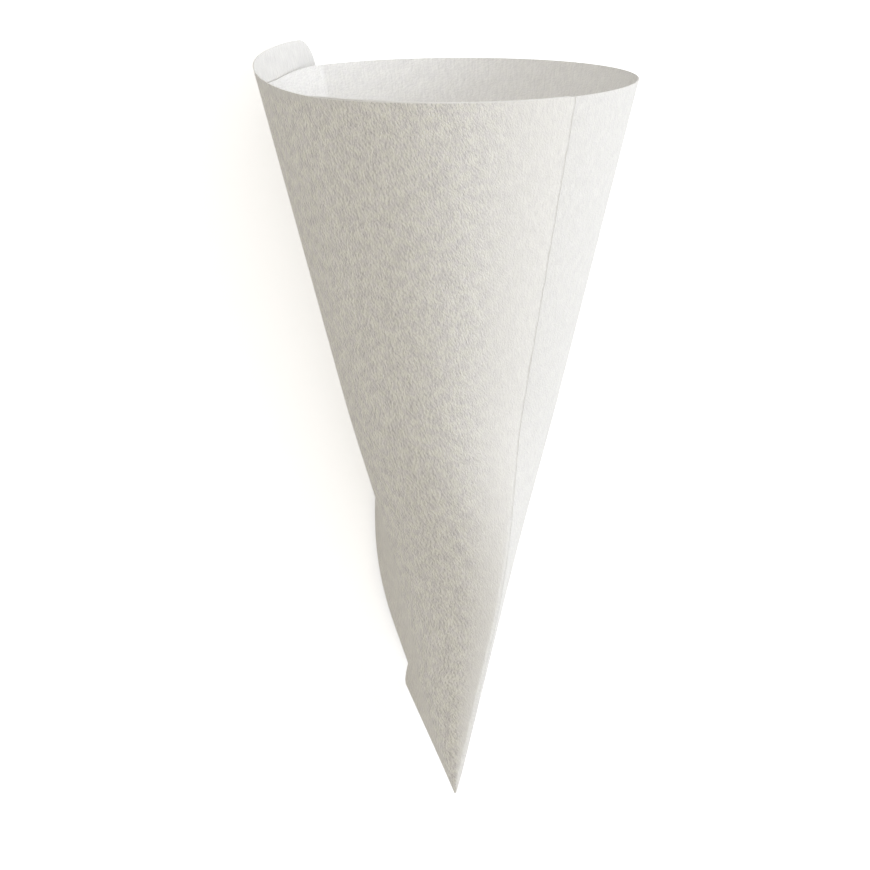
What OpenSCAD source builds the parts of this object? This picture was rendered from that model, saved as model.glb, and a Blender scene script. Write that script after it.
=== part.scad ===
// Paper coffee filter: a half-moon sheet folded in half and in half again, then opened into a cone.
// Three layers lie on one side of the cone and one on the other, and the whole sheet is one solid.
// It is modelled point down, and then laid on its side as it comes to rest on a table.

/* [Paper] */
// Radius of the flat half-moon sheet, which is the cone's length along its wall
sheet_r = 166; // [120:1:200]
// Thickness of the paper
paper_t = 0.2; // [0.15:0.01:0.3]
// Air left between two layers that lie on each other
layer_gap = 0.06; // [0.04:0.01:0.15]
// Inner radius of a pressed fold, less half the paper
fold_r = 0.5; // [0.3:0.05:0.8]
// How far the inner fold stays back from the outer fold
fold_inset = 1.2; // [0.8:0.1:3]

/* [Opened cone] */
// Direction of the outer fold, to the right of the front
fold_side_deg = 39.8; // [20:0.2:60]
// Bend of each wall from fold to fold at the rim, halved, where 90 is a true circle
rim_bend_deg = 89.5; // [80:0.5:89.5]
// The same bend near the point, where the folds hold the cone flatter
tip_bend_deg = 60; // [45:1:75]
// Distance from the point up to which the cone stays flattened
flat_end = 40; // [30:1:50]
// Distance from the point at which the cone has opened fully
open_start = 95; // [80:1:115]
// Share by which the single wall reaches past half the turn at the rim
wall_excess_share = 0.034; // [0.01:0.002:0.04]
// Distance from the point over which the layers are pinched together
pinch_len = 6; // [5:0.5:8]
// Distance from the point at which the pinched layers end
tip_cut = 0.6; // [0.4:0.1:1]

/* [Tab] */
// Height of the tab over the rim
tab_rise = 6.6; // [4:0.2:10]
// Place on the outer layer at which the edge starts to climb, in degrees of sheet
tab_from_deg = 18.2; // [12:0.1:25]
// Radius of the tab's rounded corner
tab_corner_r = 6; // [2:0.5:6]
// Reach of the outer layer from the outer fold, in degrees of sheet
outer_reach_deg = 45.7; // [44:0.1:46]
// Reach of the middle layer from the inner fold, in degrees of sheet
middle_reach_deg = 43.2; // [41:0.1:43.4]
// Place at the rim from which the outer layer springs straight, in degrees of sheet
spring_rim_deg = 38.5; // [36:0.5:41]
// The same place near the point
spring_tip_deg = 28; // [25:0.5:34]
// Extra height of the inner layer's edge, where it shows over the outer one
inner_rise = 0.2; // [0:0.1:1.2]
// How far the inner layers' edges fall below the rim, next to the tab
inner_dip = 1.6; // [0:0.1:3]
// Place at which the inner edges start to fall, in degrees of sheet from the outer fold
dip_from_deg = 20; // [14:1:26]

/* [Slack of the inner layers] */
// How far the two inner layers stand off the outer one at the rim, near the tab
slack = 1.2; // [0:0.1:2]
// Place from which they stand off, in degrees of sheet from the outer fold
slack_from_deg = 16; // [10:1:20]
// Place at which they lie close again, in degrees of sheet from the outer fold
slack_to_deg = 43; // [38:1:43]

/* [Flap at the point] */
// Extra reach of the flap past the layer's edge, in degrees of sheet
flap_reach_deg = 9.6; // [6:0.1:13]
// Distance from the point to the flap's corner
flap_corner = 28.2; // [24:0.2:30]
// Length over which the edge runs back from that corner
flap_back = 3.2; // [2:0.1:6]

/* [Hidden] */
rad = PI / 180;
layer_pitch = paper_t + layer_gap;
// A quarter turn of sheet makes one turn of the cone, so each layer is an eighth of a full circle
layer_deg = 45;
turn_deg = 2 * layer_deg;
// Width of the rounding at the flap's corner, as a share of flap_back
flap_round_share = 0.3;
// Stretches over which the inner edges fall, and climb back to the inner fold, in degrees of sheet
dip_in_deg = 10;
dip_out_deg = 7;
// Middle and half width of the stretch where the inner edge shows, in degrees of sheet
peep_mid_deg = 17;
peep_width_deg = 4;
toward_fold = [sin(fold_side_deg), -cos(fold_side_deg)];
toward_layers = [-cos(fold_side_deg), -sin(fold_side_deg)];
// Number of columns in each layer and in the inner fold
middle_cols = 13;
fold_cols = 4;
inner_cols = 17;
wall_cols = 25;
outer_cols = 28;

function unit(v) = v / norm(v);
function turned(q) = [q[0], -q[1]];
function mix(a, b, x) = a + (b - a) * x;
function ease(x) = let (q = min(1, max(0, x))) q * q * (3 - 2 * q);
// A ramp from 0 that starts with a curve of half width w and then climbs evenly
function ramp(x, w) = x < -w ? 0 : x < w ? pow(x + w, 2) / (4 * w) : x;

// How far the inner layers stand off inwards, from nothing near the point to their slack at the rim
function stand_off(deg, s) =
    let (q = min(1, max(0, (deg - slack_from_deg) / (slack_to_deg - slack_from_deg))))
    -slack * pow(sin(180 * q), 2) * ease((s - open_start) / (sheet_r - open_start));

// How far the section has opened at distance s from the point, from 0 to 1
function opened(s) = ease((s - flat_end) / (open_start - flat_end));
// Pinch of the layers at distance s from the point, 1 where they have their full thickness
function pinch(s) = min(1, s / pinch_len);
// Length round the inner loop, with the outer loop as long as the paper
function loop_len(s) = turn_deg * rad * s - 3 * PI * layer_pitch * pinch(s);

// The inner loop's section at distance s from the point: two wide arcs joined by a small arc at each fold.
// l is the length from the outer fold, and is negative on the single wall. Gives place, normal and tangent.
function loop_spot(l, s) =
    let (
        whole = loop_len(s),
        at = l < -whole / 2 ? l + whole : l,
        side = at < 0 ? -1 : 1,
        m = abs(at),
        bend = mix(tip_bend_deg, rim_bend_deg, opened(s)),
        small_r = fold_r * pinch(s),
        small_l = small_r * (90 - bend) * rad,
        wide_r = (whole / 2 - 2 * small_l) / (2 * bend * rad),
        first = m < small_l,
        last = m > whole / 2 - small_l,
        r = first || last ? small_r : wide_r,
        turn = first ? m / small_r / rad
            : last ? 180 - (whole / 2 - m) / small_r / rad
            : 90 - bend + (m - small_l) / wide_r / rad,
        cx = (wide_r - small_r) * sin(bend) * (first ? 1 : last ? -1 : 0),
        cy = first || last ? 0 : -(wide_r - small_r) * cos(bend)
    )
    [[cx + r * cos(turn), side * (cy + r * sin(turn))],
     [cos(turn), side * sin(turn)],
     [-side * sin(turn), cos(turn)]];

// A place on the sheet in space, with its outward normal: deg is the sheet angle from the outer fold,
// out the distance outwards from the loop, and past leave the paper runs on straight.
// shift is the share by which this layer gives way to the single wall.
function place(deg, s, out, leave = 2 * layer_deg, shift = 0) =
    let (
        per_deg = loop_len(s) / turn_deg * (1 - shift * opened(s)),
        held = min(deg, leave),
        q = loop_spot(held * per_deg, s),
        flat = q[0] + out * q[1] + (deg - held) * per_deg * q[2],
        xy = flat[0] * toward_fold + flat[1] * toward_layers,
        across = q[1][0] * toward_fold + q[1][1] * toward_layers,
        p = [xy[0], xy[1], sqrt(s * s - xy * xy)],
        ray = unit(p),
        n = [across[0], across[1], 0]
    )
    [p, unit(n - ray * (n * ray))];

// Where the outer layer leaves the loop, and where it ends, at distance s from the point
function spring_at(s) = mix(spring_tip_deg, spring_rim_deg, opened(s));
function outer_end(s) =
    outer_reach_deg + flap_reach_deg * (1 - min(1, ramp((s - flap_corner) / flap_back, flap_round_share)));

// A column of the sheet is a layer's name with its share of the layer's width, counted from the outer fold.
// This gives the middle of the paper at distance s from the point, and the normal to its outside face.
function spot(col, s) =
    let (
        g = layer_pitch * pinch(s),
        inset = fold_inset * pinch(s) / (loop_len(s) / turn_deg),
        v = col[1]
    )
    col[0] == "middle" ?
        let (deg = mix(inset, middle_reach_deg, v))
        turned(place(deg, s, g + stand_off(deg, s), spring_at(s)))
    : col[0] == "inner" ?
        let (deg = mix(inset, layer_deg, v), lies_at = deg * (1 - wall_excess_share * opened(s)))
        place(deg, s, stand_off(lies_at, s), shift = wall_excess_share)
    : col[0] == "wall" ? place(-v * layer_deg, s, 2 * g * ease(1 - v), shift = -wall_excess_share)
    : col[0] == "outer" ? place(v * outer_end(s), s, 2 * g, spring_at(s))
    : fold_spot(v, s);

// The tight inner fold is half a small circle about a line between the middle and the inner layer
function fold_spot(share, s) =
    let (
        g = layer_pitch * pinch(s),
        mid = place(fold_inset * pinch(s) / (loop_len(s) / turn_deg), s, g / 2),
        away = cos(180 * share) * mid[1] + sin(180 * share) * unit(cross(mid[0], mid[1]))
    )
    [mid[0] + g / 2 * away, -away];

// Distance from the point to the edge of the paper, for each column
function outer_edge(deg) =
    let (
        to_side = max(0, tab_corner_r - (outer_reach_deg - deg) * rad * sheet_r),
        drop = tab_corner_r - sqrt(pow(tab_corner_r, 2) - pow(to_side, 2))
    )
    sheet_r + tab_rise * ease((deg - tab_from_deg) / (outer_reach_deg - tab_from_deg)) - drop;
function inner_edge(deg) = sheet_r + inner_rise * exp(-pow((deg - peep_mid_deg) / peep_width_deg, 2))
    - inner_dip * ease((deg - dip_from_deg) / dip_in_deg) * ease((layer_deg - deg) / dip_out_deg);
function edge(col) =
    col[0] == "outer" ? outer_edge(col[1] * outer_reach_deg)
    : col[0] == "inner" ? inner_edge(col[1] * layer_deg)
    : col[0] == "middle" ? inner_edge(col[1] * middle_reach_deg)
    : sheet_r;

// The sheet as columns from the middle layer's free edge, through the folds, to the outer layer's free edge
columns = [
    for (i = [0:middle_cols]) ["middle", 1 - i / middle_cols],
    for (i = [1:fold_cols]) ["fold", i / (fold_cols + 1)],
    for (i = [0:inner_cols]) ["inner", i / inner_cols],
    for (i = [1:wall_cols]) ["wall", 1 - i / wall_cols],
    for (i = [1:outer_cols]) ["outer", 1 - pow(1 - i / outer_cols, 1.35)]
];
// Each column has its rows close together near the point, where the section changes
low_rows = 16;
high_rows = 13;
low_end = 60;
rows = low_rows + high_rows + 1;
function row_at(r, top) =
    r < low_rows ? mix(tip_cut, low_end, pow(r / low_rows, 1.5))
    : mix(low_end, top, (r - low_rows) / high_rows);
spots = [for (col = columns) let (top = edge(col)) [for (r = [0:rows - 1]) spot(col, row_at(r, top))]];
function skin(way) =
    [for (c = spots) for (q = c) q[0] + way * paper_t / 2 * pinch(norm(q[0])) * q[1]];
upright = concat(skin(1), skin(-1));

// The sheet lies on three spots: the wall's rim, the tab's corner and the flap's corner
n_cols = len(columns);
half = n_cols * rows;
first_wall = middle_cols + fold_cols + inner_cols + 2;
first_outer = first_wall + wall_cols;
wall_rim = [for (i = [first_wall:first_outer - 1]) for (k = [0, half]) upright[k + i * rows + rows - 1]];
tab_rim = [for (i = [first_outer:n_cols - 1]) for (k = [0, half]) upright[k + i * rows + rows - 1]];
flap_rim = [for (r = [2:low_rows - 1]) for (k = [0, half]) upright[k + (n_cols - 1) * rows + r]];
function lowest(pts, down) = let (d = pts * down) pts[search(max(d), d)[0]];
function settled(down, rounds) =
    rounds == 0 ? down
    : let (
        a = lowest(wall_rim, down),
        b = lowest(tab_rim, down),
        c = lowest(flap_rim, down),
        n = unit(cross(b - a, c - a))
    )
    settled(n * down < 0 ? -n : n, rounds - 1);
down = settled(unit([-0.27, 0.94, -0.21]), 6);
// The cone's axis then points along Y, with the rim at the far end
along_y = unit([0, 0, 1] - down[2] * down);
along_x = cross(along_y, -down);
laid = [for (p = upright) [p * along_x, p * along_y, -p * down]];
lo = [for (k = [0:2]) min([for (p = laid) p[k]])];
hi = [for (k = [0:2]) max([for (p = laid) p[k]])];
resting = [for (p = laid) p - [(lo[0] + hi[0]) / 2, (lo[1] + hi[1]) / 2, lo[2]]];

function quad(a, b, c, d) = [[a, b, c], [a, c, d]];
faces = [
    for (i = [0:n_cols - 2]) for (r = [0:rows - 2])
        let (a = i * rows + r, b = a + rows)
        each concat(quad(a, b, b + 1, a + 1), quad(half + a, half + a + 1, half + b + 1, half + b)),
    for (r = [0:rows - 2])
        let (a = r, b = (n_cols - 1) * rows + r)
        each concat(quad(a, a + 1, half + a + 1, half + a), quad(b, half + b, half + b + 1, b + 1)),
    for (i = [0:n_cols - 2])
        let (a = i * rows, b = a + rows - 1)
        each concat(quad(a, half + a, half + a + rows, a + rows),
                    quad(b, b + rows, half + b + rows, half + b))
];

module filter_paper() {
    color([0.93, 0.90, 0.84])
        polyhedron(points = resting, faces = faces, convexity = 10);
}

filter_paper();
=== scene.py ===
import math

import bmesh
import bpy
import numpy as np
from bpy.props import FloatProperty, FloatVectorProperty, IntProperty, PointerProperty
from mathutils import Matrix, Vector


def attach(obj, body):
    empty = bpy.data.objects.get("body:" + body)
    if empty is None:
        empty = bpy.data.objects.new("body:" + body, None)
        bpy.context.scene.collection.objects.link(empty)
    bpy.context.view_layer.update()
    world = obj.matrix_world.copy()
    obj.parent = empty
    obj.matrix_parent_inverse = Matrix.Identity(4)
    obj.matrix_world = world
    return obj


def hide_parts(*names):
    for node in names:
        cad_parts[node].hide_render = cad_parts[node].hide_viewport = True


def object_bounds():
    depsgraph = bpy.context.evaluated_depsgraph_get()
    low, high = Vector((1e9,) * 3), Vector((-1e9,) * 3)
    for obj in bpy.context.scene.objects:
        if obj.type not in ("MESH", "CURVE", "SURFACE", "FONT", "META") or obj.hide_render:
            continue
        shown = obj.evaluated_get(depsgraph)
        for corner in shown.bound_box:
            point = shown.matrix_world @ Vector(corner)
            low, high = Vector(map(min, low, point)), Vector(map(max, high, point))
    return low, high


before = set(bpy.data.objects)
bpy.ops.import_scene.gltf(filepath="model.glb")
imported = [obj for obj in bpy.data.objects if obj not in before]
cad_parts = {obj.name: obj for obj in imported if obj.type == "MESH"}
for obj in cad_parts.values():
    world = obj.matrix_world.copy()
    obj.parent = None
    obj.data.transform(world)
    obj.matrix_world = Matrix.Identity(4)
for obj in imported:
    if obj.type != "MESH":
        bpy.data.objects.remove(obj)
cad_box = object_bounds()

bl_info = {
    "name": "Paper Coffee Filter",
    "version": (1, 0, 0),
    "blender": (4, 5, 0),
    "location": "View3D > Sidebar > Coffee Filter",
    "description": "Folds a half-moon sheet of filter paper into an opened cone and lays it on a table",
    "category": "Add Mesh",
}

MM = 0.001
# A quarter of the half-moon, which is what one layer spans on the flat sheet
LAYER = math.radians(45.0)
# Each slow wave's share of the wave height, and how many of it a full turn of flat sheet would hold
WAVES = ((0.6, 8), (0.5, 12), (0.4, 20))
# Rounds in which the resting side settles on its three touching points
REST_ROUNDS = 8
# Shift of the tinted patches, in metres, which keeps them from following the clouds
PATCH_SHIFT = (1.0, 0.0, 0.0)


def number(name, description, default, **more):
    return FloatProperty(name=name, description=description, default=default, **more)


def length(name, description, default_mm):
    return number(name, description, default_mm * MM, unit="LENGTH", precision=5)


def angle(name, description, default_deg):
    return number(name, description, math.radians(default_deg), subtype="ANGLE", precision=3)


def share(name, description, default):
    return number(name, description, default, subtype="FACTOR", min=0.0, max=1.0, precision=4)


def count(name, description, default):
    return IntProperty(name=name, description=description, default=default, min=1)


def colour(name, description, default):
    return FloatVectorProperty(name=name, description=description, default=default,
                               subtype="COLOR", size=3, min=0.0, max=1.0)


class FilterSizes(bpy.types.PropertyGroup):
    """Sizes of the sheet, its folds and the opened cone"""
    sheet_radius: length("Sheet radius", "Radius of the flat half-moon, which is the cone's wall length", 166)
    thickness: length("Thickness", "Thickness of the paper", 0.2)
    layer_gap: length("Layer gap", "Air between two layers that lie on each other", 0.06)
    fold_radius: length("Fold radius", "Inner radius of a pressed fold, less half the paper", 0.5)
    fold_inset: length("Fold inset", "How far the inner fold stays back from the outer one", 1.2)
    fold_side: angle("Fold side", "Direction of the outer fold, to the right of the front", 39.8)
    rim_bend: angle("Rim bend", "Half the bend of each wall at the rim, where 90 is a true circle", 89.5)
    tip_bend: angle("Tip bend", "Half the bend of each wall near the point", 60)
    flat_end: length("Flat end", "Distance from the point up to which the cone stays flattened", 40)
    open_start: length("Open start", "Distance from the point at which the cone has opened fully", 95)
    wall_excess: share("Wall excess", "Share by which the single wall passes half the turn", 0.034)
    pinch: length("Pinch", "Distance from the point over which the layers are pinched", 6)
    tip_cut: length("Tip cut", "Distance from the point at which the layers end", 0.6)
    tab_rise: length("Tab rise", "Height of the tab over the rim", 6.6)
    tab_from: angle("Tab start", "Place on the outer layer where the edge starts to climb", 18.2)
    tab_corner: length("Tab corner", "Radius of the tab's corner", 6)
    outer_reach: angle("Outer reach", "Reach of the outer layer from the outer fold", 45.7)
    middle_reach: angle("Middle reach", "Reach of the middle layer from the inner fold", 43.2)
    spring_rim: angle("Spring at the rim", "Where the outer layer leaves the cone at the rim", 38.5)
    spring_tip: angle("Spring at the point", "Where the outer layer leaves the cone near the point", 28)
    inner_rise: length("Inner rise", "Extra height of the inner layers' edges where they show", 0.2)
    inner_rise_at: angle("Inner rise place", "Middle of the stretch where the inner edge shows", 17)
    inner_rise_width: angle("Inner rise width", "Half the width of that stretch", 4)
    inner_dip: length("Inner dip", "How far the inner layers' edges fall below the rim next to the tab", 1.6)
    dip_from: angle("Dip start", "Where the inner edges start to fall, from the outer fold", 20)
    dip_in: angle("Dip fall", "Stretch over which they fall", 10)
    dip_out: angle("Dip climb", "Stretch over which they climb back to the layer's far side", 7)
    flap_angle: angle("Flap angle", "Extra reach of the flap near the point", 9.6)
    flap_corner: length("Flap corner", "Distance from the point to the flap's corner", 28.2)
    flap_back: length("Flap back", "Length over which the flap's edge runs back", 3.2)
    flap_round: share("Flap rounding", "Rounding of the flap's corner, as a share of that length", 0.3)
    slack: length("Slack", "How far the two inner layers stand off the outer one at the rim", 1.2)
    slack_from: angle("Slack start", "Where they start to stand off", 16)
    slack_to: angle("Slack end", "Where they lie close again", 43)
    wave_height: length("Wave height", "Height of the paper's slow waves at the rim", 0.12)
    rest_down: FloatVectorProperty(name="Rest side", description="Rough direction that faces the table",
                                   default=(-0.27, 0.94, -0.21), subtype="DIRECTION", size=3)
    rest_from: length("Rest start", "Distance from the point past which the flap can touch the table", 10)
    middle_columns: count("Middle columns", "Columns in the middle layer", 42)
    fold_columns: count("Fold columns", "Columns in the inner fold", 9)
    inner_columns: count("Inner columns", "Columns in the inner layer", 56)
    wall_columns: count("Wall columns", "Columns in the single wall", 80)
    outer_columns: count("Outer columns", "Columns in the outer layer", 92)
    edge_gather: number("Edge gather", "How much the outer columns crowd to the free edge, 1 is even", 1.35)
    low_rows: count("Low rows", "Rows near the point", 76)
    high_rows: count("High rows", "Rows from there to the rim", 66)
    low_end: length("Low end", "Distance from the point at which the rows turn even", 60)
    point_gather: number("Point gather", "How much the low rows crowd to the point, 1 is even", 1.5)


class FilterLooks(bpy.types.PropertyGroup):
    """Colours and grain of the paper, and the light and shade that are painted into them"""
    # These tones by layer count are partly the stack's own whiteness and partly painted light, in place of
    # light shining through the translucent paper.
    paper: colour("Paper", "Colour of the single layer", (0.853, 0.848, 0.826))
    tripled: colour("Tripled paper", "Colour of the outer one of three layers", (0.878, 0.869, 0.839))
    backed: colour("Backed paper", "Colour of a layer with more behind it", (0.928, 0.925, 0.908))
    step_blur: angle("Step blur", "Half the width of the step in tone where the backing ends", 0.229)
    fold_blur: angle("Fold blur", "Half the width of the step in tone at the outer fold", 0.086)
    cool: colour("Cool patches", "Cast of the paper's purplish patches", (0.98, 0.971, 1.0))
    warm: colour("Warm patches", "Cast of the paper's yellowish patches", (0.993, 1.0, 0.975))
    patch_size: length("Patch size", "Size of the purplish and yellowish patches", 1.9)
    cloud_size: length("Cloud size", "Size of the paper's thicker and thinner patches", 3.2)
    fibre_size: length("Fibre size", "Size of the finest flecks", 0.36)
    unevenness: share("Unevenness", "How much lighter and darker the paper is from place to place", 0.22)
    cloud_part: share("Cloud part", "Part of the clouds in that", 0.4)
    patch_part: share("Patch part", "Part of the tinted patches in that", 0.4)
    fleck_part: share("Fleck part", "Part of the finest flecks in that", 0.65)
    grain_length: length("Grain length", "Length of one stroke of the crepe", 0.84)
    grain_width: length("Grain width", "Width of one stroke of the crepe", 0.58)
    grain_turn: angle("Grain turn", "Direction of the crepe on the flat sheet", 163)
    grain_bend: share("Grain bend", "How much the strokes bend", 0.3)
    grain_depth: length("Grain depth", "Depth of the crepe", 0.21)
    fleck_relief: share("Fleck relief", "Part of the finest flecks in the relief", 0.2)
    # The strokes' lighter and darker sides are painted light and shade: a painted copy of the crepe's relief
    # as lit from one side.
    stroke_shading: share("Stroke tone", "How much lighter and darker the strokes of the crepe are", 1.0)
    stroke_shift: share("Stroke shift", "How far beside its light side a stroke is dark, in its widths", 0.36)
    crepe_from: angle("Crepe start", "Where the crepe starts to show, past the outer fold", 3)
    crepe_to: angle("Crepe full", "Where it shows fully", 10)
    calm_from: angle("Calm start", "Where it starts to fade again", 31)
    calm_to: angle("Calm end", "Where it has faded", 35)
    plain_crepe: share("Plain crepe", "Strength of the crepe before it starts to show", 0.25)
    calm: share("Calm", "How much of its strength is gone where it has faded", 0.6)
    tab_calm: share("Tab calm", "How much of its strength is gone on the tab", 0.6)
    tab_blur: length("Tab blur", "Height over which the tab's look sets in below the rim", 2)
    tab_side_blur: angle("Tab side blur", "Half the stretch over which it sets in sideways", 4)
    plain_relief: share("Plain relief", "Depth of the relief where the crepe has no strength", 0.45)
    streak_length: length("Streak length", "Length of one streak towards the point", 3.0)
    streak_width: length("Streak width", "Width of one such streak at the rim", 0.45)
    streak_tone: share("Streak tone", "How much lighter and darker the streaks are", 0.19)
    # This colour is painted shade along each pressed fold line; the fold line's shape below also dents the
    # relief.
    shaded_crease: colour("Crease", "Colour of a pressed fold line", (0.73, 0.715, 0.68))
    crease_width: length("Crease width", "Half the width of a fold line", 0.36)
    crease_core: share("Crease core", "Share of that width that is at full strength", 0.2)
    crease_wander: length("Crease wander", "How far a fold line strays from straight", 0.4)
    crease_least: share("Least crease", "Strength of a fold line where it shows least", 0.3)
    crease_depth: share("Crease depth", "Depth of a fold line, as a share of the crepe's depth", 0.5)
    roughness: share("Roughness", "Roughness of the paper", 0.85)
    shine: share("Shine", "Strength of the paper's shine", 0.25)
    # The cut edge's colour is lighter than the paper as a painted highlight, for an edge that catches the
    # light.
    edge: colour("Cut edge", "Colour of the cut edge", (0.95, 0.945, 0.925))
    edge_fibre: length("Edge fibre", "Size of the flecks on the cut edge", 0.6)
    edge_dark: share("Edge dark", "Tone of those flecks, as a share of the edge's colour", 0.85)
    edge_flecks: share("Edge flecks", "How strongly they show", 0.4)
    edge_roughness: share("Edge roughness", "Roughness of the cut edge", 0.9)
    edge_shine: share("Edge shine", "Strength of the cut edge's shine", 0.2)


class FilterStage(bpy.types.PropertyGroup):
    """Camera, lights and floor"""
    camera_distance: length("Camera distance", "Distance of the camera from the cone's axis", 1081)
    camera_height: length("Camera height", "Height of the camera over the cone's point, point down", 288.5)
    camera_turn: angle("Camera turn", "Turn of the camera to the side", 0.197)
    camera_dip: angle("Camera dip", "How far the camera looks down on the rim, point down", 10.811)
    camera_roll: angle("Camera roll", "Roll of the camera", 0.62)
    camera_reach: length("Camera reach", "How far the camera sees", 20000)
    lens: number("Lens", "Focal length, in millimetres", 206.62)
    sensor: number("Sensor", "Width of the sensor, in millimetres", 36.0)
    floor_colour: colour("Floor", "Colour of the floor", (0.93, 0.93, 0.93))
    floor_glow: number("Floor glow", "How much whiter the floor looks to the camera", 0.46)
    floor_size: length("Floor size", "Side of the floor", 8000)
    key_turn: angle("Key turn", "Direction of the side light, to the right of the camera", 70)
    key_rise: angle("Key rise", "Height of the side light over the rim, point down", 10)
    key_power: number("Key power", "Power of the side light", 17.2, unit="POWER")
    key_size: length("Key size", "Side of the side light", 900)
    key_colour: colour("Key colour", "Colour of the side light", (0.876, 0.917, 1.0))
    front_turn: angle("Front turn", "Direction of the front light, to the right of the camera", 0)
    front_rise: angle("Front rise", "Height of the front light over the rim, point down", 32)
    front_power: number("Front power", "Power of the front light", 12.2, unit="POWER")
    front_size: length("Front size", "Side of the front light", 1500)
    front_colour: colour("Front colour", "Colour of the front light", (0.937, 0.945, 1.0))
    lamp_distance: length("Lamp distance", "Distance of both lights", 1600)
    fill: number("Fill", "Strength of the even light from all sides", 0.315)
    fill_colour: colour("Fill colour", "Colour of the even light", (1.0, 0.908, 0.703))


def ease(x):
    x = np.clip(x, 0.0, 1.0)
    return x * x * (3.0 - 2.0 * x)


def mix(a, b, x):
    return a + (b - a) * x


def unit(v):
    return v / np.linalg.norm(v, axis=-1, keepdims=True)


def ramp(x, w):
    """Climbs evenly from 0, with a curve of half width w where it starts."""
    return np.where(x < -w, 0.0, np.where(x < w, (x + w) ** 2 / (4.0 * w), x))


class Cone:
    """Places a point of the sheet on the opened cone, point down, with its axis along Z."""

    def __init__(self, sizes):
        self.sizes = sizes
        self.pitch = sizes.thickness + sizes.layer_gap
        side = sizes.fold_side
        self.toward_fold = np.array([math.sin(side), -math.cos(side)])
        self.toward_layers = np.array([-math.cos(side), -math.sin(side)])

    def opened(self, s):
        return ease((s - self.sizes.flat_end) / (self.sizes.open_start - self.sizes.flat_end))

    def pinched(self, s):
        return np.minimum(1.0, s / self.sizes.pinch)

    def loop_length(self, s):
        return 2.0 * LAYER * s - 3.0 * math.pi * self.pitch * self.pinched(s)

    def section(self, along, s):
        """The inner loop at distance s: two wide arcs joined by a small arc at each fold."""
        whole = self.loop_length(s)
        at = np.where(along < -whole / 2, along + whole, along)
        side = np.where(at < 0, -1.0, 1.0)
        far = np.abs(at)
        bend = mix(self.sizes.tip_bend, self.sizes.rim_bend, self.opened(s))
        small = self.sizes.fold_radius * self.pinched(s)
        small_length = small * (math.pi / 2 - bend)
        wide = (whole / 2 - 2 * small_length) / (2 * bend)
        first = far < small_length
        last = far > whole / 2 - small_length
        on_wide = math.pi / 2 - bend + (far - small_length) / wide
        turn = np.where(first, far / small, np.where(last, math.pi - (whole / 2 - far) / small, on_wide))
        centre_x = (wide - small) * np.sin(bend) * np.where(first, 1.0, np.where(last, -1.0, 0.0))
        centre_y = np.where(first | last, 0.0, -(wide - small) * np.cos(bend))
        radius = np.where(first | last, small, wide)
        spot = np.stack([centre_x + radius * np.cos(turn), side * (centre_y + radius * np.sin(turn))], -1)
        normal = np.stack([np.cos(turn), side * np.sin(turn)], -1)
        tangent = np.stack([-side * np.sin(turn), np.cos(turn)], -1)
        return spot, normal, tangent

    def place(self, sheet_angle, s, out, leave=math.pi, shift=0.0):
        """The place and outward normal at sheet_angle from the outer fold and distance s from the point."""
        per_angle = self.loop_length(s) / (2.0 * LAYER) * (1.0 - shift * self.opened(s))
        held = np.minimum(sheet_angle, leave)
        spot, normal, tangent = self.section(held * per_angle, s)
        off = out + self.wave(held, s)
        past = (sheet_angle - held) * per_angle
        flat = spot + off[..., None] * normal + past[..., None] * tangent
        xy = flat[..., :1] * self.toward_fold + flat[..., 1:] * self.toward_layers
        across = normal[..., :1] * self.toward_fold + normal[..., 1:] * self.toward_layers
        up = np.sqrt(np.maximum(s ** 2 - (xy ** 2).sum(-1), 0.0))
        point = np.concatenate([xy, up[..., None]], -1)
        ray = unit(point)
        normal = np.concatenate([across, np.zeros_like(up)[..., None]], -1)
        return point, unit(normal - ray * (normal * ray).sum(-1, keepdims=True))

    def wave(self, sheet_angle, s):
        """Slow unevenness of the paper, which all its layers share."""
        swell = sum(part * np.sin(turns * sheet_angle) for part, turns in WAVES)
        return self.sizes.wave_height * s / self.sizes.sheet_radius * swell

    def spring(self, s):
        return mix(self.sizes.spring_tip, self.sizes.spring_rim, self.opened(s))

    def outer_end(self, s):
        """Reach of the outer layer's free edge, which goes further on the flap near the point."""
        sizes = self.sizes
        run_back = ramp((s - sizes.flap_corner) / sizes.flap_back, sizes.flap_round)
        return sizes.outer_reach + sizes.flap_angle * (1.0 - np.minimum(1.0, run_back))

    def inset(self, s):
        return self.sizes.fold_inset * self.pinched(s) * 2.0 * LAYER / self.loop_length(s)

    def stand_off(self, sheet_angle, s):
        """How far the inner layers stand off inwards, from nothing near the point to their slack."""
        sizes = self.sizes
        along = np.clip((sheet_angle - sizes.slack_from) / (sizes.slack_to - sizes.slack_from), 0.0, 1.0)
        near_rim = ease((s - sizes.open_start) / (sizes.sheet_radius - sizes.open_start))
        return -sizes.slack * np.sin(math.pi * along) ** 2 * near_rim

    def middle(self, v, s):
        at = mix(self.inset(s), self.sizes.middle_reach, v)
        out = self.pitch * self.pinched(s) + self.stand_off(at, s)
        point, normal = self.place(at, s, out, self.spring(s))
        return point, -normal

    def inner(self, v, s):
        at = mix(self.inset(s), LAYER, v)
        lies_at = at * (1.0 - self.sizes.wall_excess * self.opened(s))
        return self.place(at, s, self.stand_off(lies_at, s), shift=self.sizes.wall_excess)

    def wall(self, v, s):
        out = 2.0 * self.pitch * self.pinched(s) * ease(1.0 - v)
        return self.place(-v * LAYER, s, out, shift=-self.sizes.wall_excess)

    def outer(self, v, s):
        return self.place(v * self.outer_end(s), s, 2.0 * self.pitch * self.pinched(s), self.spring(s))

    def fold(self, v, s):
        """The inner fold, half a round from the middle layer to the inner one."""
        pitch = self.pitch * self.pinched(s)
        point, normal = self.place(self.inset(s), s, pitch / 2.0)
        past_layers = unit(np.cross(point, normal))
        away = np.cos(math.pi * v)[..., None] * normal + np.sin(math.pi * v)[..., None] * past_layers
        return point + (pitch / 2.0)[..., None] * away, -away

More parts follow.
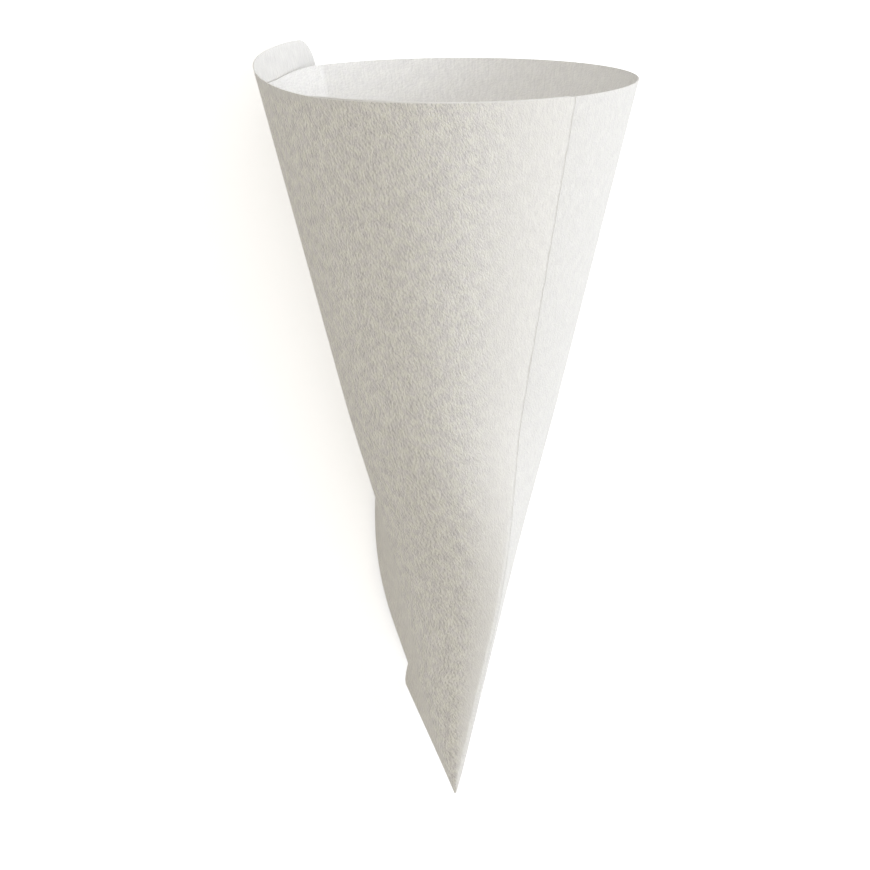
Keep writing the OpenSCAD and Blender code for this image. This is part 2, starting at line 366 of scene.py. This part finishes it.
    def outer_edge(self, sheet_angle):
        """Distance of the outer layer's upper edge from the point: the rim, then the tab with its corner."""
        sizes = self.sizes
        corner = sizes.tab_corner
        to_side = np.maximum(0.0, corner - (sizes.outer_reach - sheet_angle) * sizes.sheet_radius)
        drop = corner - np.sqrt(np.maximum(corner ** 2 - to_side ** 2, 0.0))
        climb = ease((sheet_angle - sizes.tab_from) / (sizes.outer_reach - sizes.tab_from))
        return sizes.sheet_radius + sizes.tab_rise * climb - drop

    def inner_edge(self, sheet_angle):
        """Distance of the two inner layers' upper edges from the point."""
        sizes = self.sizes
        fall = ease((sheet_angle - sizes.dip_from) / sizes.dip_in)
        dip = fall * ease((LAYER - sheet_angle) / sizes.dip_out)
        rise = np.exp(-((sheet_angle - sizes.inner_rise_at) / sizes.inner_rise_width) ** 2)
        return sizes.sheet_radius + sizes.inner_rise * rise - sizes.inner_dip * dip


class FoldedSheet:
    """The whole sheet as columns from the middle layer's free edge to the outer layer's free edge."""

    def __init__(self, sizes):
        self.sizes = sizes
        self.cone = Cone(sizes)
        points, normals, angles, distances = [], [], [], []
        self.first = {}
        for layer, v, flat_angle, edge in self.layers():
            self.first[layer.__name__] = sum(len(p) for p in points)
            s = self.rows(edge)
            point, normal = layer(v[:, None] + 0 * s, s)
            points.append(point)
            normals.append(normal)
            angles.append(flat_angle[:, None] + 0 * s)
            distances.append(s)
        self.points, self.normals = np.concatenate(points), np.concatenate(normals)
        self.angles, self.distances = np.concatenate(angles), np.concatenate(distances)
        self.half = (sizes.thickness / 2 * self.cone.pinched(self.distances))[..., None]

    def layers(self):
        """Each stretch of the sheet: what places it, its columns, their flat angles and their upper edges."""
        cone, sizes = self.cone, self.sizes
        rim, reach = sizes.sheet_radius, sizes.middle_reach
        middle = 1 - np.arange(sizes.middle_columns + 1) / sizes.middle_columns
        fold = np.arange(1, sizes.fold_columns + 1) / (sizes.fold_columns + 1)
        inner = np.arange(sizes.inner_columns + 1) / sizes.inner_columns
        wall = 1 - np.arange(1, sizes.wall_columns + 1) / sizes.wall_columns
        outer = 1 - (1 - np.arange(1, sizes.outer_columns + 1) / sizes.outer_columns) ** sizes.edge_gather
        return [
            (cone.middle, middle, reach * (1 - middle), cone.inner_edge(middle * reach)),
            (cone.fold, fold, reach + 0 * fold, rim + 0 * fold),
            (cone.inner, inner, reach + inner * LAYER, cone.inner_edge(inner * LAYER)),
            (cone.wall, wall, reach + (2 - wall) * LAYER, rim + 0 * wall),
            (cone.outer, outer, reach + 2 * LAYER + outer * sizes.outer_reach,
             cone.outer_edge(outer * sizes.outer_reach)),
        ]

    def rows(self, top):
        sizes = self.sizes
        climb = (np.arange(sizes.low_rows) / sizes.low_rows) ** sizes.point_gather
        low = mix(sizes.tip_cut, sizes.low_end, climb)
        high = np.arange(sizes.high_rows + 1) / sizes.high_rows
        return np.concatenate([low + 0 * top[:, None], mix(sizes.low_end, top[:, None], high)], 1)

    def face(self, way):
        return self.points + way * self.half * self.normals

    def lay_down(self):
        """Turns the sheet so that it lies on the wall's rim, the tab's corner and the flap's corner."""
        outside, inside = self.face(1), self.face(-1)
        wall, outer = self.first["wall"], self.first["outer"]
        flap = (self.distances[-1] > self.sizes.rest_from) & (self.distances[-1] < self.sizes.low_end)
        groups = [np.concatenate([f[wall:outer, -1] for f in (outside, inside)]),
                  np.concatenate([f[outer:, -1] for f in (outside, inside)]),
                  np.concatenate([f[-1][flap] for f in (outside, inside)])]
        down = unit(np.array(self.sizes.rest_down))
        for _ in range(REST_ROUNDS):
            a, b, c = (g[np.argmax(g @ down)] for g in groups)
            normal = unit(np.cross(b - a, c - a))
            down = -normal if normal @ down < 0 else normal
        along_y = unit(np.array([0.0, 0.0, 1.0]) - down[2] * down)
        self.turn = np.stack([np.cross(along_y, -down), along_y, -down])
        everything = np.concatenate([outside.reshape(-1, 3), inside.reshape(-1, 3)]) @ self.turn.T
        low, high = everything.min(0), everything.max(0)
        self.base = np.array([(low[0] + high[0]) / 2, (low[1] + high[1]) / 2, low[2]])
        return self

    def laid(self, points):
        return points @ self.turn.T - self.base

    def laid_way(self, way):
        return Vector(self.turn @ np.array(way))


def sheet_object(sheet):
    """A grid, extruded once into a closed solid, with both faces moved onto the folded sheet."""
    columns, rows = sheet.distances.shape
    mesh = bmesh.new()
    column, row, front = (mesh.verts.layers.float.new(n) for n in ("column", "row", "front"))
    bmesh.ops.create_grid(mesh, x_segments=columns - 1, y_segments=rows - 1, size=0.5)
    for v in mesh.verts:
        v[column] = round((v.co.x + 0.5) * (columns - 1))
        v[row] = round((v.co.y + 0.5) * (rows - 1))
        v[front] = 0.0
    back_faces = list(mesh.faces)
    result = bmesh.ops.extrude_face_region(mesh, geom=back_faces, use_keep_orig=True)
    for v in result["geom"]:
        if isinstance(v, bmesh.types.BMVert):
            v[front] = 1.0
    outside, inside = sheet.laid(sheet.face(1)), sheet.laid(sheet.face(-1))
    for v in mesh.verts:
        i, j = int(round(v[column])), int(round(v[row]))
        v.co = (outside if v[front] > 0.5 else inside)[i, j]
    uv = mesh.loops.layers.uv.new("sheet")
    for f in mesh.faces:
        between_faces = len({v[front] for v in f.verts}) > 1
        f.smooth = True
        f.material_index = 1 if between_faces else 0
        for loop in f.loops:
            i, j = int(round(loop.vert[column])), int(round(loop.vert[row]))
            s, a = sheet.distances[i, j], sheet.angles[i, j]
            loop[uv].uv = (s * math.cos(a), s * math.sin(a))
    for e in mesh.edges:
        if len({f.material_index for f in e.link_faces}) > 1:
            e.smooth = False
    bmesh.ops.recalc_face_normals(mesh, faces=mesh.faces)
    return linked_object("Filter_paper", mesh)


def linked_object(name, mesh):
    """Makes an object of a bmesh, which it frees, and puts it in the scene."""
    data = bpy.data.meshes.new(name)
    mesh.to_mesh(data)
    mesh.free()
    obj = bpy.data.objects.new(name, data)
    bpy.context.scene.collection.objects.link(obj)
    return obj


class Sock:
    """A value on a material's socket, with Python's operators adding its Math nodes."""

    def __init__(self, maker, socket):
        self.maker, self.socket = maker, socket

    def _math(self, operation, *values):
        return self.maker.node("ShaderNodeMath", {"operation": operation}, *values)

    def other(self, output):
        """Another output of the same node."""
        return Sock(self.maker, self.socket.node.outputs[output])

    def __add__(self, other):
        return self._math("ADD", self, other)

    def __sub__(self, other):
        return self._math("SUBTRACT", self, other)

    def __rsub__(self, other):
        return self._math("SUBTRACT", other, self)

    def __mul__(self, other):
        return self._math("MULTIPLY", self, other)

    def __abs__(self):
        return self._math("ABSOLUTE", self)


class Maker:
    """Builds one material's nodes."""

    def __init__(self, name):
        old = bpy.data.materials.get(name)
        if old:
            bpy.data.materials.remove(old)
        self.material = bpy.data.materials.new(name)
        self.material.use_nodes = True
        self.tree = self.material.node_tree
        self.tree.nodes.clear()

    def node(self, kind, settings=None, *values, output=0, **named):
        node = self.tree.nodes.new(kind)
        for key, value in (settings or {}).items():
            setattr(node, key, value)
        for key, value in [*enumerate(values), *named.items()]:
            socket = node.inputs[key if isinstance(key, int) else key.replace("_", " ")]
            if isinstance(value, Sock):
                self.tree.links.new(value.socket, socket)
            else:
                socket.default_value = value
        return Sock(self, node.outputs[output])

    def spread(self, value, low, high):
        """0 below low, 1 above high, and smooth between them."""
        return self.node("ShaderNodeMapRange", {"interpolation_type": "SMOOTHSTEP"}, value, low, high)

    def patches(self, noise, low=0.3):
        """Noise spread over 0 to 1, from low up to as far below 1."""
        return self.spread(noise, low, 1.0 - low)

    def blend(self, factor, one, other):
        node = self.tree.nodes.new("ShaderNodeMix")
        node.data_type = "RGBA"
        for index, value in ((0, factor), (6, one), (7, other)):
            if isinstance(value, Sock):
                self.tree.links.new(value.socket, node.inputs[index])
            else:
                node.inputs[index].default_value = value
        return Sock(self, node.outputs[2])

    def vector(self, operation, *values, **named):
        return self.node("ShaderNodeVectorMath", {"operation": operation}, *values, **named)

    def flat_noise(self, place, size=1.0, detail=2.0, roughness=0.6, distortion=0.0):
        """Noise on a plane, around 0.5, with patches of about this size."""
        return self.node("ShaderNodeTexNoise", {"noise_dimensions": "2D"}, Vector=place, Scale=1.0 / size,
                         Detail=detail, Roughness=roughness, Distortion=distortion)

    def finish(self, shader):
        out = self.tree.nodes.new("ShaderNodeOutputMaterial")
        self.tree.links.new(shader.socket, out.inputs["Surface"])
        return self.material


def rgba(c):
    return (c[0], c[1], c[2], 1.0)


class FlatSheet:
    """What the paper's material needs to know of a place on the flat sheet"""

    def __init__(self, m, looks, sizes):
        self.m, self.looks, self.sizes = m, looks, sizes
        self.place = m.node("ShaderNodeUVMap", {"uv_map": "sheet"})
        self.x = m.node("ShaderNodeSeparateXYZ", None, self.place)
        self.y = self.x.other("Y")
        self.turn = m.node("ShaderNodeMath", {"operation": "ARCTAN2"}, self.y, self.x)
        self.out = m.vector("LENGTH", self.place, output="Value")
        self.outer_fold = sizes.middle_reach + 2 * LAYER
        self.past_fold = self.turn - self.outer_fold
        self.on_tab = self.tab()
        self.strength = self.crepe_strength()
        self.cloud = m.flat_noise(self.place, looks.cloud_size, detail=4.0)

    def tab(self):
        """1 on the tab, which stands alone over the rim, and 0 elsewhere."""
        m, sizes, blur = self.m, self.sizes, self.looks.tab_side_blur
        over_rim = m.spread(self.out, sizes.sheet_radius - self.looks.tab_blur, sizes.sheet_radius)
        return over_rim * m.spread(self.past_fold, sizes.tab_from - blur, sizes.tab_from + blur)

    def crepe_strength(self):
        """How strongly the crepe shows, in its relief and in the painted light and shade of its strokes, most
        of all on the front of the outer layer.
        """
        m, looks = self.m, self.looks
        shows = m.spread(self.past_fold, looks.crepe_from, looks.crepe_to)
        fades = m.spread(self.past_fold, looks.calm_from, looks.calm_to)
        strength = shows * (1.0 - looks.plain_crepe) + looks.plain_crepe - fades * looks.calm
        return strength * (1.0 - self.on_tab * looks.tab_calm)

    def layer_tone(self):
        """The paper's colour, which depends on how many layers lie there: partly the stack's own whiteness
        and partly painted light, in place of light shining through the translucent paper.
        """
        m, looks, sizes = self.m, self.looks, self.sizes
        past_backing = self.turn - (sizes.middle_reach + sizes.outer_reach)
        unbacked = m.spread(past_backing, -looks.step_blur, looks.step_blur)
        tripled = m.spread(self.past_fold, -looks.fold_blur, looks.fold_blur) * (1.0 - self.on_tab)
        tone = m.blend(unbacked, rgba(looks.backed), rgba(looks.paper))
        return m.blend(tripled, tone, rgba(looks.tripled))

    def streaks(self):
        """Lightness of the fine streaks that run towards the point, where the crepe is weak."""
        looks = self.looks
        across = self.turn * (self.sizes.sheet_radius / looks.streak_width)
        along = self.out * (1.0 / looks.streak_length)
        rayed = self.m.node("ShaderNodeCombineXYZ", None, across, along)
        noise = self.m.flat_noise(rayed, detail=1.0, roughness=0.5)
        return (noise - 0.5) * looks.streak_tone * (1.0 - self.strength)

    def fold_line(self, fold):
        """1 on the pressed line at this angle, which strays a little from straight, and 0 off it."""
        looks = self.looks
        off = self.x * math.sin(fold) - self.y * math.cos(fold) + (self.cloud - 0.5) * looks.crease_wander
        return 1.0 - self.m.spread(abs(off), looks.crease_width * looks.crease_core, looks.crease_width)

    def crease_shade_strength(self):
        """How strongly the painted shade on a fold line shows: not near the point, and most in the thicker
        patches.
        """
        looks, sizes = self.looks, self.sizes
        patchy = self.m.patches(self.cloud) * (1.0 - looks.crease_least) + looks.crease_least
        return patchy * self.m.spread(self.out, sizes.flat_end, sizes.open_start)


def filter_paper_material(looks, sizes):
    """Creped paper, drawn on the flat sheet's own coordinates, with painted light and shade on the crepe's
    strokes, on the fold lines and in the layers' tones.
    """
    m = Maker("Filter paper")
    flat = FlatSheet(m, looks, sizes)
    turned = m.node("ShaderNodeMapping", {"vector_type": "TEXTURE"}, flat.place,
                    Rotation=(0.0, 0.0, looks.grain_turn))
    grain = m.node("ShaderNodeMapping", {"vector_type": "TEXTURE"}, turned,
                   Scale=(looks.grain_length, looks.grain_width, 1.0))
    crepe = m.flat_noise(grain, distortion=looks.grain_bend)
    beside = m.flat_noise(m.vector("ADD", grain, (0.0, looks.stroke_shift, 0.0)), distortion=looks.grain_bend)
    flecks = m.flat_noise(turned, looks.fibre_size)
    tint = m.patches(m.flat_noise(m.vector("ADD", flat.place, PATCH_SHIFT), looks.patch_size,
                                  detail=3.0, roughness=0.5))
    uneven = ((m.patches(flat.cloud) - 0.5) * looks.cloud_part
              + (m.patches(flecks, 0.25) - 0.5) * looks.fleck_part
              + (tint - 0.5) * looks.patch_part)
    # Painted light and shade of the strokes: the crepe noise less the same noise shifted, lighter on one side
    # of each stroke and darker on the other.
    strokes = (crepe - beside) * looks.stroke_shading
    shade = (strokes + uneven * looks.unevenness) * flat.strength + flat.streaks() + 1.0
    cast = m.blend((tint - 0.5) * flat.strength + 0.5, rgba(looks.cool), rgba(looks.warm))
    tone = m.vector("SCALE", m.vector("MULTIPLY", flat.layer_tone(), cast), Scale=shade)
    shaded_crease = flat.fold_line(sizes.middle_reach) + flat.fold_line(flat.outer_fold)
    # Painted shade along the two fold lines.
    tone = m.blend(shaded_crease * flat.crease_shade_strength(), tone, rgba(looks.shaded_crease))
    relief = crepe * (1.0 - looks.fleck_relief) + flecks * looks.fleck_relief
    height = (relief * (flat.strength * (1.0 - looks.plain_relief) + looks.plain_relief)
              - shaded_crease * looks.crease_depth)
    bump = m.node("ShaderNodeBump", None, Strength=1.0, Distance=looks.grain_depth, Height=height)
    return m.finish(m.node("ShaderNodeBsdfPrincipled", None, Base_Color=tone, Roughness=looks.roughness,
                           Specular_IOR_Level=looks.shine, Normal=bump))


def cut_edge_material(looks):
    """The cut edge, a little lighter than the paper as a painted highlight, with faint darker flecks."""
    m = Maker("Cut paper edge")
    place = m.node("ShaderNodeTexCoord", None, output="Object")
    fibres = m.node("ShaderNodeTexNoise", None, Vector=place, Scale=1.0 / looks.edge_fibre,
                    Detail=3.0, Roughness=0.6)
    dark = [part * looks.edge_dark for part in looks.edge]
    tone = m.blend(m.patches(fibres) * looks.edge_flecks, rgba(looks.edge), rgba(dark))
    return m.finish(m.node("ShaderNodeBsdfPrincipled", None, Base_Color=tone, Roughness=looks.edge_roughness,
                           Specular_IOR_Level=looks.edge_shine))


def floor_material(stage):
    """A pale floor that takes the shadow, and looks a little brighter to the camera."""
    m = Maker("Floor")
    matt = m.node("ShaderNodeBsdfDiffuse", None, Color=rgba(stage.floor_colour))
    camera = m.node("ShaderNodeLightPath", None, output="Is Camera Ray")
    seen = camera + camera.other("Is Glossy Ray") + camera.other("Is Transmission Ray")
    glow = m.node("ShaderNodeEmission", None, Strength=seen * stage.floor_glow)
    return m.finish(m.node("ShaderNodeAddShader", None, matt, glow))


class OBJECT_OT_filter_paper(bpy.types.Operator):
    """Folds the sheet of filter paper and lays it on the table"""
    bl_idname = "object.filter_paper"
    bl_label = "Filter Paper"
    bl_options = {"REGISTER", "UNDO"}

    def execute(self, context):
        sizes, looks = context.scene.filter_sizes, context.scene.filter_looks
        obj = sheet_object(FoldedSheet(sizes).lay_down())
        obj.data.materials.append(filter_paper_material(looks, sizes))
        obj.data.materials.append(cut_edge_material(looks))
        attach(obj, "root")
        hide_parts("filter_paper")
        return {"FINISHED"}


def laid_camera(stage, sheet):
    """The camera in front of the cone as it stands point down, turned with the cone onto the table."""
    turn, dip, roll = stage.camera_turn, stage.camera_dip, stage.camera_roll
    right = Vector((math.cos(turn), math.sin(turn), 0.0))
    ahead = Vector((-math.sin(turn), math.cos(turn), 0.0))
    up = Vector((0.0, 0.0, 1.0))
    place = np.array([0.0, -stage.camera_distance, stage.camera_height])
    ahead, up = math.cos(dip) * ahead - math.sin(dip) * up, math.sin(dip) * ahead + math.cos(dip) * up
    right, up = math.cos(roll) * right - math.sin(roll) * up, math.sin(roll) * right + math.cos(roll) * up
    axes = [sheet.laid_way(a) for a in (right, up, -ahead)]
    matrix = Matrix([[a[i] for a in axes] for i in range(3)]).to_4x4()
    matrix.translation = Vector(sheet.laid(place))
    return matrix


def add_camera(stage, sheet):
    camera = bpy.data.cameras.new("Camera")
    camera.lens, camera.sensor_width, camera.clip_end = stage.lens, stage.sensor, stage.camera_reach
    obj = bpy.data.objects.new("Camera", camera)
    obj.matrix_world = laid_camera(stage, sheet)
    bpy.context.scene.collection.objects.link(obj)
    bpy.context.scene.camera = obj


def add_floor(stage):
    mesh = bmesh.new()
    bmesh.ops.create_grid(mesh, x_segments=1, y_segments=1, size=stage.floor_size / 2)
    floor = linked_object("Floor", mesh)
    floor.data.materials.append(floor_material(stage))


def soft_light(name, stage, sheet):
    """A square light, placed around the cone as it stands point down and turned with it onto the table."""
    turn, rise, power, size, tint = (
        getattr(stage, f"{name}_{what}") for what in ("turn", "rise", "power", "size", "colour"))
    level = math.cos(rise)
    toward = sheet.laid_way((math.sin(turn) * level, -math.cos(turn) * level, math.sin(rise)))
    middle = (Vector(cad_box[0]) + Vector(cad_box[1])) / 2
    lamp = bpy.data.lights.new(f"{name.title()} light", "AREA")
    lamp.shape, lamp.size, lamp.energy, lamp.color = "SQUARE", size, power, tint
    obj = bpy.data.objects.new(lamp.name, lamp)
    obj.location = middle + toward * stage.lamp_distance
    obj.rotation_euler = toward.to_track_quat("Z", "Y").to_euler()
    bpy.context.scene.collection.objects.link(obj)


def add_even_light(stage):
    world = bpy.data.worlds.new("Studio")
    world.use_nodes = True
    background = world.node_tree.nodes["Background"]
    background.inputs["Color"].default_value = rgba(stage.fill_colour)
    background.inputs["Strength"].default_value = stage.fill
    bpy.context.scene.world = world


class SCENE_OT_filter_stage(bpy.types.Operator):
    """Adds the camera, the floor and the soft lights"""
    bl_idname = "scene.filter_stage"
    bl_label = "Stage"
    bl_options = {"REGISTER", "UNDO"}

    def execute(self, context):
        scene = context.scene
        stage = scene.filter_stage
        sheet = FoldedSheet(scene.filter_sizes).lay_down()
        add_camera(stage, sheet)
        add_floor(stage)
        for name in ("key", "front"):
            soft_light(name, stage, sheet)
        add_even_light(stage)
        scene.view_settings.view_transform = "Standard"
        return {"FINISHED"}


class VIEW3D_PT_coffee_filter(bpy.types.Panel):
    """Lists the filter's sizes and its two steps"""
    bl_label = "Coffee Filter"
    bl_idname = "VIEW3D_PT_coffee_filter"
    bl_space_type = "VIEW_3D"
    bl_region_type = "UI"
    bl_category = "Coffee Filter"

    def draw(self, context):
        layout = self.layout
        for group in (context.scene.filter_sizes, context.scene.filter_looks, context.scene.filter_stage):
            box = layout.box()
            for name in group.bl_rna.properties.keys():
                if name not in ("rna_type", "name"):
                    box.prop(group, name)
        layout.operator(OBJECT_OT_filter_paper.bl_idname)
        layout.operator(SCENE_OT_filter_stage.bl_idname)


CLASSES = (FilterSizes, FilterLooks, FilterStage, OBJECT_OT_filter_paper, SCENE_OT_filter_stage,
           VIEW3D_PT_coffee_filter)


def register():
    for c in CLASSES:
        bpy.utils.register_class(c)
    bpy.types.Scene.filter_sizes = PointerProperty(type=FilterSizes)
    bpy.types.Scene.filter_looks = PointerProperty(type=FilterLooks)
    bpy.types.Scene.filter_stage = PointerProperty(type=FilterStage)


def unregister():
    del bpy.types.Scene.filter_stage, bpy.types.Scene.filter_looks, bpy.types.Scene.filter_sizes
    for c in reversed(CLASSES):
        bpy.utils.unregister_class(c)


def main():
    register()
    bpy.ops.scene.filter_stage()
    bpy.ops.object.filter_paper()


if __name__ == "__main__":
    main()
